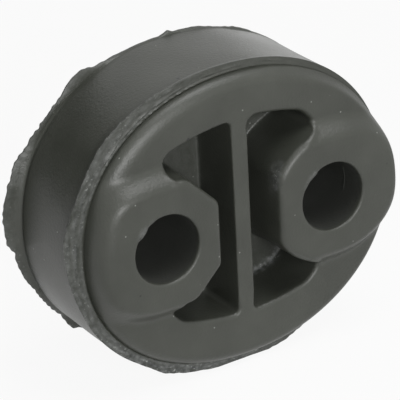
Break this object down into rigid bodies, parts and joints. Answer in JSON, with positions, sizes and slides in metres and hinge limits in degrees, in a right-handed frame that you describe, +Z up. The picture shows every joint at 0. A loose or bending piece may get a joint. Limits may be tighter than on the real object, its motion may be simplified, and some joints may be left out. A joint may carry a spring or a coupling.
{
  "type": "exhaust hanger rubber",
  "caption": "Oval rubber block standing on its long side, bored through near each end, with raised lands round the bores and a thin upright web between them.",
  "frame": {"origin": "on the surface that the rubber stands on, under the centre of its box", "axes": "+X runs from the left bore to the right bore, +Y from the front face to the rear face, +Z up"},
  "size_m": [0.0646, 0.027, 0.0549],
  "materials": {
    "hanger_rubber": "dull black rubber with a faint grey bloom"
  },
  "bodies": {
    "root": {"hanger_rubber": "hanger_rubber"}
  },
  "joints": []
}
